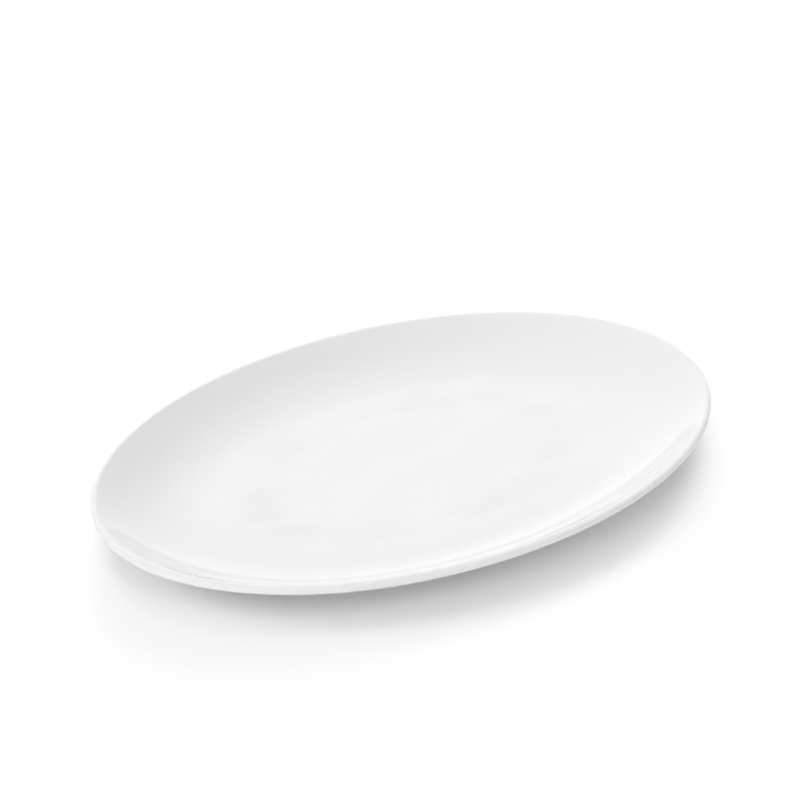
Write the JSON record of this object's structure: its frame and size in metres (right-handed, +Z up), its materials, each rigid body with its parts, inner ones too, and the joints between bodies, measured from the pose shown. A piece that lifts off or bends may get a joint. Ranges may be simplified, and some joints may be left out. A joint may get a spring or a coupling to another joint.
{
  "type": "oval serving platter",
  "caption": "Oval coupe serving platter in white glazed porcelain: flat well, wall bending up and running straight to a round lip, oval foot ring with a bare tread.",
  "frame": {"origin": "on the table, at the middle of the foot ring", "axes": "+X along the platter's length, +Y across its width, +Z up"},
  "size_m": [0.36, 0.243, 0.026],
  "materials": {
    "bare_porcelain": "fired and unglazed, smooth and matt, cream white",
    "white_glaze": "clear glossy glaze over white porcelain"
  },
  "bodies": {
    "root": {"porcelain_body": "bare_porcelain", "glaze_coat": "white_glaze", "base_glaze": "white_glaze"}
  },
  "joints": []
}
